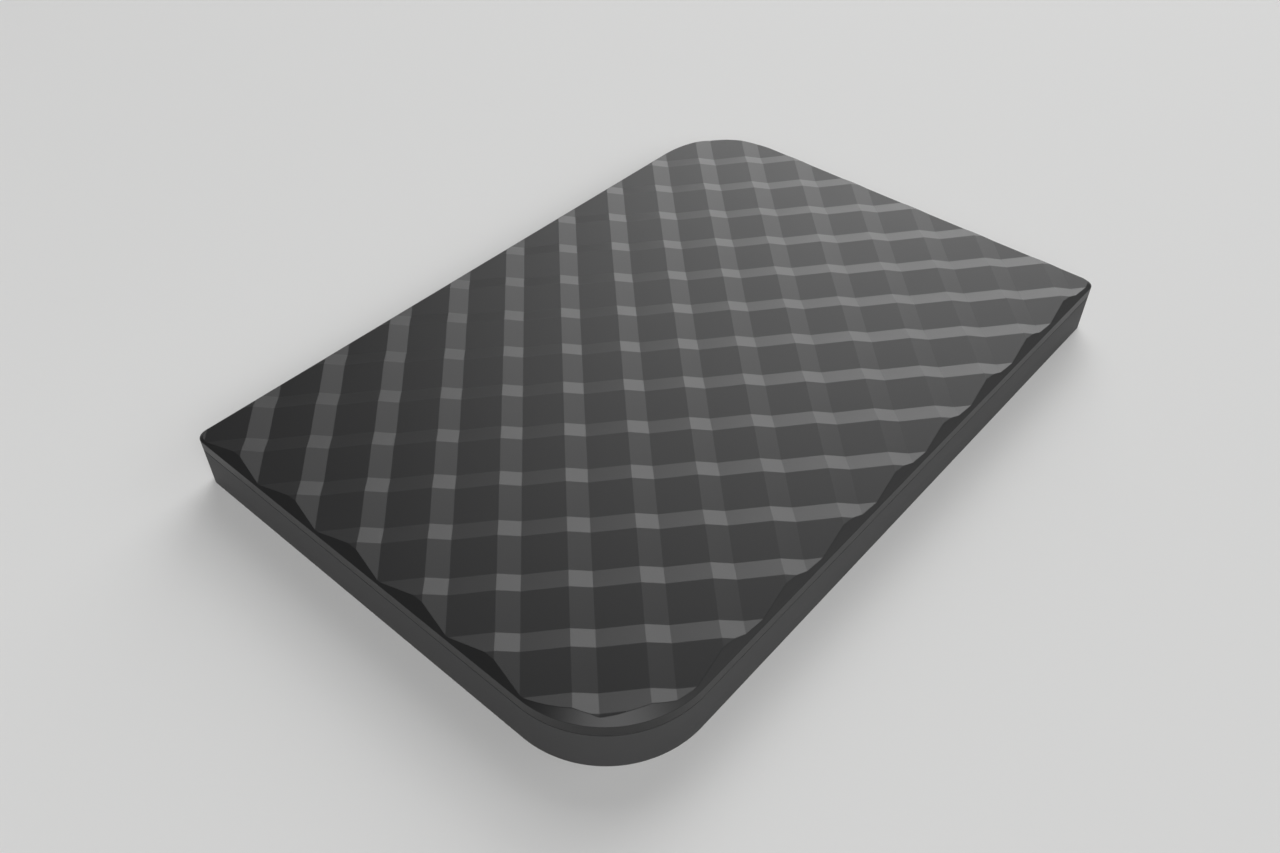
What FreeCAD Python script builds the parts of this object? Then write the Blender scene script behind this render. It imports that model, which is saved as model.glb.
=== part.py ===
import FreeCAD, Part
import math
import os

os.makedirs("parts", exist_ok=True)

# Pocket solid state drive: a faceted plastic cover snapped on a shallow plastic case that holds
# one circuit board. Millimetres, +Z up, +Y along the drive towards its socket.
# The origin is at the bottom centre.

# Case outline: two opposite corners are generously rounded, the other two only slightly.
case_width = 63.6
case_length = 93.5
round_corner_radius = 12.0
small_corner_radius = 1.4
foot_edge_radius = 0.1

# Heights of the case and of the cover's edge.
floor_thickness = 1.0
wall_thickness = 1.5
seam_height = 5.3
seam_groove_height = 0.1
seam_groove_depth = 0.3
skirt_height = 1.38
cover_edge_lean = 50.0

# Facets of the cover: two crossing families of saw ridges at 45 degrees to the sides.
facet_pitch_along_side = 10.0
facet_strip_width = 2.35
facet_ridge_height = 0.40
facet_mean_above_rim = 0.59

# Inside of the cover.
cover_thickness = 1.2
lip_depth = 1.2
lip_thickness = 1.0
lip_clearance = 0.15
lip_gap_beside_pipe = 0.5
rib_width = 0.9
rib_depth = 0.45
rib_side_margin = 6.0
cross_rib_count = 4

# Snaps between cover and case.
snap_length = 6.0
snap_reach = 0.4
snap_height = 0.6
snap_foot = 0.05
snap_clearance = 0.15
side_snap_spacing = 26.0
end_snap_spacing = 28.0

# Circuit board and the posts and screws that hold it.
board_thickness = 1.0
board_edge_gap = 0.6
board_lift = 1.35
screw_inset = 3.65
screw_end_inset = 14.0
screw_shank_diameter = 1.5
screw_length = 2.4
screw_head_diameter = 2.9
screw_head_height = 0.7
screw_slot_width = 0.4
screw_slot_depth = 0.3
board_hole_clearance = 0.2
pilot_clearance = 0.1
pilot_floor = 0.5
post_wall = 1.3
shelf_length = 5.0
shelf_overlap = 1.5

# Socket: a stadium shaped metal shell round a tongue with two rows of contacts.
shell_width = 8.94
shell_height = 3.26
shell_wall = 0.3
shell_length = 7.35
shell_recess = 0.3
shell_window_gap = 0.2
shell_notch_gap = 0.25
tab_length = 1.9
tab_width = 1.2
tab_thickness = 0.3
tab_end_margin = 0.6
insulator_gap = 0.04
insulator_block_length = 2.2
tongue_width = 6.7
tongue_thickness = 0.7
tongue_length = 4.4
contact_count = 12
contact_pitch = 0.5
contact_width = 0.28
contact_thickness = 0.12
contact_proud = 0.03
contact_tip_margin = 0.45
contact_tail_length = 1.1
contact_heel_length = 0.35

# Memory and control chips on the board.
flash_width = 18.0
flash_length = 12.0
flash_height = 1.2
flash_gap_x = 3.0
flash_gap_y = 2.0
flash_end_margin = 2.0
controller_size = 12.0
controller_height = 1.1
controller_gap = 5.0
buffer_width = 7.5
buffer_length = 13.0
buffer_height = 1.0
buffer_gap = 4.0
bridge_size = 9.0
bridge_height = 0.9
bridge_gap_to_socket = 10.0

# Small leaded chips, power parts and passive parts.
firmware_width = 3.9
firmware_length = 4.9
firmware_height = 1.45
firmware_gap = 5.0
regulator_width = 1.6
regulator_length = 2.9
regulator_height = 1.1
regulator_gap = 4.0
lead_width = 0.4
lead_thickness = 0.2
lead_reach = 1.0
lead_foot = 0.6
firmware_lead_pitch = 1.27
firmware_leads_per_side = 4
regulator_lead_pitch = 0.95
regulator_leads_per_side = 3
crystal_width = 3.2
crystal_length = 2.5
crystal_height = 0.7
crystal_gap = 2.5
inductor_size = 3.0
inductor_height = 1.2
inductor_corner_radius = 0.6
inductor_gap = 2.0
inductor_gap_to_controller = 6.0
passive_length = 1.0
passive_width = 0.5
passive_height = 0.5
passive_pitch = 2.0
passive_gap = 1.0
surge_length = 2.5
surge_width = 1.0
surge_height = 0.5
surge_gap = 1.5
surge_spacing = 4.0

# Activity light and its clear pipe through the end wall.
light_offset = 8.5
led_width = 1.6
led_length = 0.8
led_height = 0.6
led_gap = 0.1
pipe_diameter = 1.1
pipe_hole_gap = 0.1
pipe_foot_width = 3.0
pipe_foot_depth = 1.3
pipe_foot_height = 1.2
pipe_recess = 0.05

# Heights and half sizes that follow from the values above.
half_width = case_width / 2
half_length = case_length / 2
rim_height = seam_height + skirt_height
facet_mean = rim_height + facet_mean_above_rim
facet_low = facet_mean - facet_ridge_height
facet_high = facet_mean + facet_ridge_height
cover_underside = facet_low - cover_thickness
board_bottom = floor_thickness + board_lift
board_top = board_bottom + board_thickness
board_half_width = half_width - wall_thickness - board_edge_gap
board_half_length = half_length - wall_thickness - board_edge_gap
socket_height = board_bottom + board_thickness / 2
shell_front = half_length - shell_recess
shell_back = shell_front - shell_length
inner_end = half_length - wall_thickness
lip_inset = wall_thickness + lip_clearance
lip_bottom = seam_height - lip_depth
flash_row_1 = -board_half_length + flash_end_margin + flash_length / 2
flash_row_2 = flash_row_1 + flash_length + flash_gap_y
controller_y = flash_row_2 + flash_length / 2 + controller_gap + controller_size / 2
bridge_y = shell_back - bridge_gap_to_socket - bridge_size / 2

# Extra length given to cutting tools so that they pass right through a face.
overcut = 1.0

Vec = FreeCAD.Vector
UP = Vec(0, 0, 1)


def outline(inset, height):
    """Closed outline of the case, moved inwards by inset, at a height."""
    x = half_width - inset
    y = half_length - inset
    big = round_corner_radius - inset
    small = max(small_corner_radius - inset, small_corner_radius / 2)
    corners = [(-1, -1, small), (1, -1, big), (1, 1, small), (-1, 1, big)]
    edges = []
    last = None
    first = None
    for side_x, side_y, radius in corners:
        turn = Vec(side_x * (x - radius), side_y * (y - radius), height)
        along_x = turn + Vec(0, side_y * radius, 0)
        along_y = turn + Vec(side_x * radius, 0, 0)
        middle = turn + Vec(side_x * radius, side_y * radius, 0) * math.sqrt(0.5)
        start, end = (along_y, along_x) if side_x * side_y > 0 else (along_x, along_y)
        if last is not None:
            edges.append(Part.makeLine(last, start))
        else:
            first = start
        edges.append(Part.Arc(start, middle, end).toShape())
        last = end
    edges.append(Part.makeLine(last, first))
    return Part.Wire(edges)


def prism(wire, height):
    return Part.Face(wire).extrude(UP * height)


def frustum(lower, upper):
    """Solid between two like outlines: flat faces along the sides and leaning round corners."""
    faces = [Part.Face(lower), Part.Face(upper)]
    for low, high in zip(lower.OrderedEdges, upper.OrderedEdges):
        if low.Curve.TypeId == "Part::GeomLine":
            points = [low.firstVertex(True).Point, low.lastVertex(True).Point,
                      high.lastVertex(True).Point, high.firstVertex(True).Point]
            faces.append(Part.Face(Part.makePolygon(points + points[:1])))
        else:
            faces += Part.makeLoft([Part.Wire(low), Part.Wire(high)], False, True).Faces
    return Part.Solid(Part.makeShell(faces))


def block(x_centre, y_centre, z_low, x_size, y_size, z_size):
    """Box centred in X and Y that stands on a height."""
    corner = Vec(x_centre - x_size / 2, y_centre - y_size / 2, z_low)
    return Part.makeBox(x_size, y_size, z_size, corner)


def stadium(width, height, length, y_back):
    """Bar along Y with round ends to its section, centred on the socket."""
    radius = height / 2
    reach = width / 2 - radius
    low = socket_height - radius
    right = Vec(reach, y_back, low)
    left = Vec(-reach, y_back, low)
    across = Vec(0, 0, height)
    side = Vec(width / 2, y_back, socket_height)
    far_side = Vec(-width / 2, y_back, socket_height)
    edges = [
        Part.makeLine(left, right),
        Part.Arc(right, side, right + across).toShape(),
        Part.makeLine(right + across, left + across),
        Part.Arc(left + across, far_side, left).toShape(),
    ]
    return Part.Face(Part.Wire(edges)).extrude(Vec(0, length, 0))


def merge(first, others):
    return first.fuse(list(others)).removeSplitter()


def mirrored_pairs(x, y):
    return [(side_x * x, side_y * y) for side_x in (-1, 1) for side_y in (-1, 1)]


def ridge_lines(reach):
    """Crest and valley positions of a family of ridges about the middle, with their heights."""
    pitch = facet_pitch_along_side / math.sqrt(2)
    last = math.ceil(reach / pitch) + 1
    lines = []
    for step in range(-last, last + 1):
        crest = step * pitch
        lines.append((crest, facet_ridge_height / 2))
        lines.append((crest + facet_strip_width, -facet_ridge_height / 2))
    return lines


def faceted_block(bottom):
    """Solid whose top is the facet field, larger than the cover on all sides."""
    reach = (half_width + half_length) / math.sqrt(2)
    lines = ridge_lines(reach)

    def corner(line_u, line_w):
        u, rise_u = line_u
        w, rise_w = line_w
        return Vec((u - w) / math.sqrt(2), (u + w) / math.sqrt(2), facet_mean + rise_u + rise_w)

    def face(points):
        return Part.Face(Part.makePolygon(points + points[:1]))

    grid = [[corner(line_u, line_w) for line_w in lines] for line_u in lines]
    faces = []
    for here, ahead in zip(grid, grid[1:]):
        for column in range(len(lines) - 1):
            faces.append(face([here[column], ahead[column], ahead[column + 1], here[column + 1]]))
    sides = [grid[0], [row[-1] for row in grid], grid[-1], [row[0] for row in grid]]
    for top in sides:
        low = [Vec(point.x, point.y, bottom) for point in (top[-1], top[0])]
        faces.append(face(top + low))
    ends = [grid[0][0], grid[0][-1], grid[-1][-1], grid[-1][0]]
    faces.append(face([Vec(point.x, point.y, bottom) for point in ends]))
    return Part.Solid(Part.makeShell(faces))


def snap_places():
    """Each snap as a place on the wall line and the outward direction there."""
    wall_x = half_width - lip_inset
    wall_y = half_length - lip_inset
    places = []
    for step in (-1, 0, 1):
        for side in (-1, 1):
            places.append((Vec(side * wall_x, step * side_snap_spacing, 0), Vec(side, 0, 0)))
    for step in (-0.5, 0.5):
        for side in (-1, 1):
            places.append((Vec(step * end_snap_spacing, side * wall_y, 0), Vec(0, side, 0)))
    return places


def snap_bar(place, outward, reach, height, bottom, length):
    """Three sided bar along the wall, flat on the lip and pointed outwards."""
    along = UP.cross(outward)
    start = place - along * (length / 2)
    root = outward * -snap_foot
    points = [
        start + root + UP * bottom,
        start + outward * reach + UP * (bottom + height / 2),
        start + root + UP * (bottom + height),
    ]
    return Part.Face(Part.makePolygon(points + points[:1])).extrude(along * length)


def snap_pocket(place, outward, bottom):
    """Room in the case wall for one snap."""
    along = UP.cross(outward)
    depth = lip_clearance + snap_reach + snap_clearance
    height = snap_height + 2 * snap_clearance
    length = snap_length + 2 * snap_clearance
    start = place - along * (length / 2) - outward * lip_clearance
    deep = start + outward * depth
    points = [start, deep, deep + along * length, start + along * length]
    pocket = Part.Face(Part.makePolygon(points + points[:1])).extrude(UP * height)
    pocket.translate(UP * (bottom - snap_clearance))
    return pocket


snap_bottom = lip_bottom + snap_clearance


def top_cover():
    """Faceted cover with a leaning edge, a short skirt, a lip with snaps and inner ribs."""
    lean_height = facet_high + overcut - rim_height
    lean_inset = lean_height * math.tan(math.radians(cover_edge_lean))
    skirt = prism(outline(0, seam_height), skirt_height)
    edge = frustum(outline(0, rim_height), outline(lean_inset, rim_height + lean_height))
    shell = skirt.fuse(edge).common(faceted_block(seam_height - overcut))
    plug = prism(outline(lip_inset, lip_bottom), rim_height - lip_bottom)
    hollow_inset = lip_inset + lip_thickness
    hollow = prism(outline(hollow_inset, lip_bottom), cover_underside - lip_bottom)
    socket_gap = block(0, half_length, lip_bottom, 2 * socket_room(), 2 * (hollow_inset + overcut),
                       seam_height - lip_bottom)
    bars = [snap_bar(place, outward, snap_reach, snap_height, snap_bottom, snap_length)
            for place, outward in snap_places()]
    cover = shell.fuse(plug).cut([hollow, socket_gap])
    return merge(cover, bars + cover_ribs(hollow_inset))


def socket_room():
    """Half the width that the lip leaves open for the socket and the light pipe beside it."""
    return light_offset + pipe_foot_width / 2 + lip_gap_beside_pipe


def cover_ribs(hollow_inset):
    """Low ribs under the cover, clear of the pad over the controller."""
    half_x = half_width - hollow_inset
    half_y = half_length - hollow_inset
    low = cover_underside - rib_depth
    depth = rib_depth + overcut / 2
    rib_x = half_x - rib_side_margin
    reach_y = half_y - round_corner_radius
    ribs = [block(side * rib_x, 0, low, rib_width, 2 * reach_y, depth) for side in (-1, 1)]
    step = 2 * reach_y / (cross_rib_count - 1)
    for index in range(cross_rib_count):
        ribs.append(block(0, index * step - reach_y, low, 2 * rib_x, rib_width, depth))
    pad_room = controller_size + 2 * rib_width
    pad = block(0, controller_y, low, pad_room, pad_room, rib_depth)
    return [rib.cut(pad) for rib in ribs]


def screw_places():
    return mirrored_pairs(board_half_width - screw_inset, board_half_length - screw_end_inset)


def bottom_case():
    """Open tray with posts and shelves for the board, snap pockets and the socket window."""
    body = prism(outline(0, 0), seam_height)
    foot_edges = [edge for edge in body.Edges if edge.BoundBox.ZMax < foot_edge_radius / 2]
    body = body.makeFillet(foot_edge_radius, foot_edges)
    cavity = prism(outline(wall_thickness, floor_thickness), seam_height)
    groove_low = seam_height - seam_groove_height
    ring = prism(outline(-overcut, groove_low), seam_groove_height + overcut)
    ring = ring.cut(prism(outline(seam_groove_depth, groove_low), seam_groove_height + overcut))
    window_gap = 2 * shell_window_gap
    window = stadium(shell_width + window_gap, shell_height + window_gap, wall_thickness + 2 * overcut,
                     inner_end - overcut)
    pipe_hole = Part.makeCylinder(pipe_diameter / 2 + pipe_hole_gap, wall_thickness + 2 * overcut,
                                  Vec(light_offset, inner_end - overcut, pipe_height()), Vec(0, 1, 0))
    pockets = [snap_pocket(place, outward, snap_bottom) for place, outward in snap_places()]
    tray = body.cut([cavity, ring, window, pipe_hole] + pockets)
    return merge(tray, board_posts() + board_shelves()).cut(pilot_holes())


def board_posts():
    radius = screw_shank_diameter / 2 + pilot_clearance + post_wall
    return [Part.makeCylinder(radius, board_bottom - pilot_floor, Vec(x, y, pilot_floor))
            for x, y in screw_places()]


def pilot_holes():
    radius = screw_shank_diameter / 2 + pilot_clearance
    return [Part.makeCylinder(radius, board_bottom, Vec(x, y, pilot_floor)) for x, y in screw_places()]


def board_shelves():
    """Short shelves along the long walls that carry the middle of the board."""
    depth = board_edge_gap + shelf_overlap
    x = half_width - wall_thickness - depth / 2
    low = floor_thickness / 2
    return [block(side * x, 0, low, depth, shelf_length, board_bottom - low) for side in (-1, 1)]


def main_board():
    """Board cut to the inside of the case, with screw holes and a notch for the socket."""
    plate = prism(outline(wall_thickness + board_edge_gap, board_bottom), board_thickness)
    radius = screw_shank_diameter / 2 + board_hole_clearance
    holes = [Part.makeCylinder(radius, board_thickness + 2 * overcut, Vec(x, y, board_bottom - overcut))
             for x, y in screw_places()]
    notch_back = shell_back - shell_notch_gap
    notch_length = half_length - notch_back
    notch = block(0, notch_back + notch_length / 2, board_bottom - overcut,
                  shell_width + 2 * shell_notch_gap, notch_length, board_thickness + 2 * overcut)
    return plate.cut(holes + [notch])


def board_screws():
    """Slotted pan head screws, heads flat on the board."""
    screws = []
    for x, y in screw_places():
        shank = Part.makeCylinder(screw_shank_diameter / 2, screw_length, Vec(x, y, board_top - screw_length))
        head = Part.makeCylinder(screw_head_diameter / 2, screw_head_height, Vec(x, y, board_top))
        rim = [edge for edge in head.Edges if edge.BoundBox.ZMin > board_top + screw_head_height / 2]
        head = head.makeFillet(screw_head_height / 3, rim)
        slot = block(x, y, board_top + screw_head_height - screw_slot_depth,
                     screw_head_diameter + overcut, screw_slot_width, screw_slot_depth + overcut)
        screws.append(shank.fuse(head.cut(slot)).removeSplitter())
    return Part.makeCompound(screws)


def socket_shell():
    """Seamless metal shell with four solder tabs on the board."""
    tube = stadium(shell_width, shell_height, shell_length, shell_back)
    inner = stadium(shell_width - 2 * shell_wall, shell_height - 2 * shell_wall,
                    shell_length + 2 * overcut, shell_back - overcut)
    tube = tube.cut(inner)
    tab_x = shell_width / 2 - shell_wall + tab_length / 2
    first = shell_back + tab_end_margin + tab_width / 2
    last = board_half_length - tab_end_margin - tab_width / 2
    tabs = [block(side * tab_x, y, board_top, tab_length, tab_width, tab_thickness)
            for side in (-1, 1) for y in (first, last)]
    return merge(tube, [tab.cut(inner) for tab in tabs])


def contact_bars():
    """Each contact runs from the board, through the insulator and along the tongue."""
    front = shell_back + insulator_block_length + tongue_length - contact_tip_margin
    notch_back = shell_back - shell_notch_gap
    bars = []
    for face in (-1, 1):
        surface = socket_height + face * (tongue_thickness / 2 + contact_proud)
        seat = board_top if face > 0 else board_bottom
        run_low = min(surface, surface - face * contact_thickness)
        heel_low = min(surface - face * contact_thickness, seat + face * contact_thickness)
        heel_height = abs(seat + face * contact_thickness - surface + face * contact_thickness)
        tail_low = min(seat, seat + face * contact_thickness)
        heel_back = notch_back + shell_notch_gap - contact_heel_length / 2
        for index in range(contact_count):
            x = (index - (contact_count - 1) / 2) * contact_pitch
            run = block(x, (front + heel_back) / 2, run_low, contact_width, front - heel_back,
                        contact_thickness)
            heel = block(x, heel_back + contact_heel_length / 4, heel_low, contact_width,
                         contact_heel_length / 2, heel_height)
            tail_front = heel_back + contact_heel_length / 2
            tail = block(x, tail_front - contact_tail_length / 2, tail_low, contact_width,
                         contact_tail_length, contact_thickness)
            bars.append(run.fuse([heel, tail]).removeSplitter())
    return bars


def socket_insulator(contacts):
    """Moulded block behind the tongue, with the contacts set into it."""
    fit = 2 * (shell_wall + insulator_gap)
    back = stadium(shell_width - fit, shell_height - fit, insulator_block_length, shell_back)
    tongue_back = shell_back + insulator_block_length
    tongue = block(0, tongue_back + tongue_length / 2, socket_height - tongue_thickness / 2,
                   tongue_width, tongue_length, tongue_thickness)
    tip = [edge for edge in tongue.Edges if edge.BoundBox.YMin > tongue_back + tongue_length / 2
           and edge.BoundBox.ZLength > tongue_thickness / 2]
    tongue = tongue.makeFillet(tongue_thickness / 2, tip)
    return back.fuse(tongue).removeSplitter().cut(contacts)


def on_board(x, y, x_size, y_size, height):
    return block(x, y, board_top, x_size, y_size, height)


def flash_places():
    column = (flash_width + flash_gap_x) / 2
    return [(side * column, row) for row in (flash_row_1, flash_row_2) for side in (-1, 1)]


def buffer_x():
    return -(controller_size / 2 + buffer_gap + buffer_width / 2)


def firmware_x():
    return -(bridge_size / 2 + firmware_gap + firmware_width / 2)


def inductor_places():
    x = controller_size / 2 + inductor_gap_to_controller + inductor_size / 2
    step = (inductor_size + inductor_gap) / 2
    return [(x, controller_y - step), (x, controller_y + step)]


def regulator_y():
    return controller_y + inductor_gap / 2 + inductor_size + regulator_gap + regulator_length / 2


def inductor(x, y):
    body = on_board(x, y, inductor_size, inductor_size, inductor_height)
    upright = [edge for edge in body.Edges if edge.BoundBox.ZLength > inductor_height / 2]
    return body.makeFillet(inductor_corner_radius, upright)


def gull_leads(x, y, body_width, body_height, pitch, per_side):
    """Bent leads on both long sides of a small chip, feet flat on the board."""
    leads = []
    for side in (-1, 1):
        face_x = x + side * body_width / 2
        knee = face_x + side * (lead_reach - lead_foot)
        shoulder = board_top + body_height / 2
        for index in range(per_side):
            lead_y = y + (index - (per_side - 1) / 2) * pitch
            top = block((face_x + knee) / 2, lead_y, shoulder, abs(knee - face_x), lead_width, lead_thickness)
            drop = block(knee - side * lead_thickness / 2, lead_y, board_top, lead_thickness, lead_width,
                         shoulder + lead_thickness - board_top)
            foot = block(knee + side * lead_foot / 2, lead_y, board_top, lead_foot, lead_width,
                         lead_thickness)
            leads.append(top.fuse([drop, foot]).removeSplitter())
    return Part.makeCompound(leads)


def passive_row(x, y, count, along_y):
    """Row of small chip parts, spaced along Y or along X about its middle."""
    parts = []
    for index in range(count):
        shift = (index - (count - 1) / 2) * passive_pitch
        if along_y:
            parts.append(on_board(x, y + shift, passive_length, passive_width, passive_height))
        else:
            parts.append(on_board(x + shift, y, passive_width, passive_length, passive_height))
    return parts


def ceramic_capacitors():
    """Decoupling capacitors between the memories and beside the controller and the coils."""
    between = math.floor((flash_row_2 - flash_row_1 + flash_length) / passive_pitch)
    beside = math.floor(controller_size / passive_pitch)
    coil_x = inductor_places()[0][0] + inductor_size / 2 + passive_gap + passive_length / 2
    chip_x = controller_size / 2 + passive_gap + passive_length / 2
    rows = passive_row(0, (flash_row_1 + flash_row_2) / 2, between, True)
    rows += passive_row(chip_x, controller_y, beside, True)
    rows += passive_row(-chip_x, controller_y, beside, True)
    rows += passive_row(coil_x, controller_y, beside - 1, True)
    return Part.makeCompound(rows)


def chip_resistors():
    """Resistors along two sides of the bridge chip."""
    count = math.floor(bridge_size / passive_pitch)
    gap = bridge_size / 2 + passive_gap + passive_length / 2
    rows = passive_row(gap, bridge_y, count, True)
    rows += passive_row(0, bridge_y + gap, count, False)
    return Part.makeCompound(rows)


def surge_arrays():
    """Two protection parts between the socket's contacts and the bridge chip."""
    y = shell_back - shell_notch_gap - contact_tail_length - surge_gap - surge_width / 2
    return Part.makeCompound([on_board(side * surge_spacing / 2, y, surge_length, surge_width, surge_height)
                              for side in (-1, 1)])


def pipe_height():
    return board_top + pipe_foot_height / 2


def light_pipe():
    """Clear rod through the end wall on a square foot that stands on the board."""
    foot = on_board(light_offset, inner_end - pipe_foot_depth / 2, pipe_foot_width, pipe_foot_depth,
                    pipe_foot_height)
    rod = Part.makeCylinder(pipe_diameter / 2, wall_thickness - pipe_recess,
                            Vec(light_offset, inner_end, pipe_height()), Vec(0, 1, 0))
    return foot.fuse(rod)


def activity_led():
    y = inner_end - pipe_foot_depth - led_gap - led_length / 2
    return on_board(light_offset, y, led_width, led_length, led_height)


def thermal_pad():
    """Soft pad squeezed between the controller and the cover."""
    low = board_top + controller_height
    return block(0, controller_y, low, controller_size, controller_size, cover_underside - low)


contacts = contact_bars()
crystal_x = bridge_size / 2 + passive_gap + passive_length + crystal_gap + crystal_width / 2
regulator_x = inductor_places()[0][0]
nodes = {
    "top_cover": top_cover(),
    "bottom_case": bottom_case(),
    "main_board": main_board(),
    "board_screws": board_screws(),
    "socket_shell": socket_shell(),
    "socket_insulator": socket_insulator(contacts),
    "socket_contacts": Part.makeCompound(contacts),
    "flash_controller": on_board(0, controller_y, controller_size, controller_size, controller_height),
    "buffer_memory": on_board(buffer_x(), controller_y, buffer_width, buffer_length, buffer_height),
    "bridge_controller": on_board(0, bridge_y, bridge_size, bridge_size, bridge_height),
    "firmware_memory": on_board(firmware_x(), bridge_y, firmware_width, firmware_length, firmware_height),
    "firmware_memory_leads": gull_leads(firmware_x(), bridge_y, firmware_width, firmware_height,
                                        firmware_lead_pitch, firmware_leads_per_side),
    "voltage_regulator": on_board(regulator_x, regulator_y(), regulator_width, regulator_length,
                                  regulator_height),
    "voltage_regulator_leads": gull_leads(regulator_x, regulator_y(), regulator_width, regulator_height,
                                          regulator_lead_pitch, regulator_leads_per_side),
    "clock_crystal": on_board(crystal_x, bridge_y, crystal_width, crystal_length, crystal_height),
    "ceramic_capacitors": ceramic_capacitors(),
    "chip_resistors": chip_resistors(),
    "surge_arrays": surge_arrays(),
    "activity_led": activity_led(),
    "light_pipe": light_pipe(),
    "thermal_pad": thermal_pad(),
}
for number, (x, y) in enumerate(flash_places(), 1):
    nodes[f"flash_memory_{number}"] = on_board(x, y, flash_width, flash_length, flash_height)
for number, (x, y) in enumerate(inductor_places(), 1):
    nodes[f"power_inductor_{number}"] = inductor(x, y)

for name, shape in nodes.items():
    shape.exportStep(f"parts/{name}.step")
    box = shape.BoundBox
    print(f"{name:26s} solids {len(shape.Solids):3d} valid {shape.isValid()} volume {shape.Volume:9.2f}"
          f"  z {box.ZMin:.2f} to {box.ZMax:.2f}")
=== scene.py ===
import math

import bmesh
import bpy
from mathutils import Matrix, Vector


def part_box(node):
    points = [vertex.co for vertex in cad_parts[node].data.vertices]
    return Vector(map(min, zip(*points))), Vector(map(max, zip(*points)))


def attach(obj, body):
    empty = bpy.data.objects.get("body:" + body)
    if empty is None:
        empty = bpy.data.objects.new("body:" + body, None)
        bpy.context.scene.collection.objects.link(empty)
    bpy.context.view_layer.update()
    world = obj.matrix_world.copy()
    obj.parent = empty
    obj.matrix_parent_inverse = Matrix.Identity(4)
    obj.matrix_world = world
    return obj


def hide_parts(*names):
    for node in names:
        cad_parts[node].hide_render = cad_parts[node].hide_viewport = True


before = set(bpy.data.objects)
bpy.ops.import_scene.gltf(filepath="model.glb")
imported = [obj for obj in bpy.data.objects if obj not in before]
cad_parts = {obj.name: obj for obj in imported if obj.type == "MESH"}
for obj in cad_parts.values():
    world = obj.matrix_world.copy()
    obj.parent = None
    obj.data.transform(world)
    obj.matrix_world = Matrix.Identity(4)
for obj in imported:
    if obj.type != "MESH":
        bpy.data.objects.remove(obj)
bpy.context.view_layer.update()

# Bottom case: a shallow tray, injection moulded in black plastic with a fine satin grain.
# Two corners on one diagonal are generously rounded and the other two only slightly. Posts and
# shelves inside carry the board, and pockets in the walls take the cover's snaps.
_, case_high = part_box("bottom_case")
half_width, half_length, seam_height = case_high
board_low, board_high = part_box("main_board")
shell_low, shell_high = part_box("socket_shell")
_, screws_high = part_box("board_screws")
round_corner = 0.012
small_corner = 0.0014
wall = 0.0015
floor_top = 0.001
foot_radius = 0.00005
foot_steps = 6
edge_radius = 0.00005
edge_middle = 0.3 * edge_radius
groove_height = 0.0001
groove_depth = 0.0003


def case_outline(inset):
    """Points round the case, anticlockwise from above, moved inwards by inset."""
    reach_x = half_width - inset
    reach_y = half_length - inset
    big = round_corner - inset
    small = max(small_corner - inset, small_corner / 2)
    shoulder = 0.0004
    big_steps = 56
    small_steps = 40
    corners = [(1, -1, big, big_steps), (1, 1, small, small_steps),
               (-1, 1, big, big_steps), (-1, -1, small, small_steps)]
    points = []
    for quarter, (side_x, side_y, radius, steps) in enumerate(corners):
        turn = Vector((side_x * (reach_x - radius), side_y * (reach_y - radius)))
        angles = [math.radians(90 * (quarter - 1 + step / steps)) for step in range(steps + 1)]
        arc = [turn + radius * Vector((math.cos(angle), math.sin(angle))) for angle in angles]
        before = Vector((math.sin(angles[0]), -math.cos(angles[0]))) * shoulder
        after = Vector((-math.sin(angles[-1]), math.cos(angles[-1]))) * shoulder
        points += [arc[0] + before] + arc + [arc[-1] + after]
    return points


def case_ring(inset, height):
    return [Vector((point.x, point.y, height)) for point in case_outline(inset)]


def keep_piece(name, shape):
    """Makes a scene object of a finished bmesh, with its faces turned outwards."""
    bmesh.ops.recalc_face_normals(shape, faces=shape.faces)
    mesh = bpy.data.meshes.new(name)
    shape.to_mesh(mesh)
    shape.free()
    piece = bpy.data.objects.new(name, mesh)
    bpy.context.scene.collection.objects.link(piece)
    return piece


def loft(name, rings, closed=False):
    """Skin over rings of as many points each, capped at both ends or closed on itself."""
    shape = bmesh.new()
    loops = [[shape.verts.new(point) for point in ring] for ring in rings]
    pairs = list(zip(loops, loops[1:]))
    if closed:
        pairs.append((loops[-1], loops[0]))
    for here, ahead in pairs:
        for index in range(len(here)):
            after = (index + 1) % len(here)
            shape.faces.new((here[index], here[after], ahead[after], ahead[index]))
    if not closed:
        shape.faces.new(loops[0][::-1])
        shape.faces.new(loops[-1])
    return keep_piece(name, shape)


def add_brick(shape, low, high):
    made = bmesh.ops.create_cube(shape, size=1.0)
    for vertex in made["verts"]:
        vertex.co = [l + (c + 0.5) * (h - l) for l, c, h in zip(low, vertex.co, high)]


def add_rod(shape, centre, radius, length, along=Vector((0, 0, 1)), radius_end=None):
    """Adds a round bar that starts at a point, which may flare towards its end."""
    sides = 40
    turn = along.to_track_quat("Z", "Y").to_matrix().to_4x4()
    place = Matrix.Translation(Vector(centre) + along * length / 2) @ turn
    bmesh.ops.create_cone(shape, cap_ends=True, segments=sides, radius1=radius, depth=length,
                          radius2=radius if radius_end is None else radius_end, matrix=place)


def settle(piece):
    """Turns a piece's modifiers into plain mesh."""
    graph = bpy.context.evaluated_depsgraph_get()
    mesh = bpy.data.meshes.new_from_object(piece.evaluated_get(graph))
    old = piece.data
    piece.modifiers.clear()
    piece.data = mesh
    bpy.data.meshes.remove(old)


def work(piece, tool, operation):
    """Joins a tool's solid to a piece, or cuts it out, and throws the tool away."""
    modifier = piece.modifiers.new(operation, "BOOLEAN")
    modifier.object = tool
    modifier.operation = operation
    modifier.solver = "EXACT"
    settle(piece)
    bpy.data.meshes.remove(tool.data)


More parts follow.
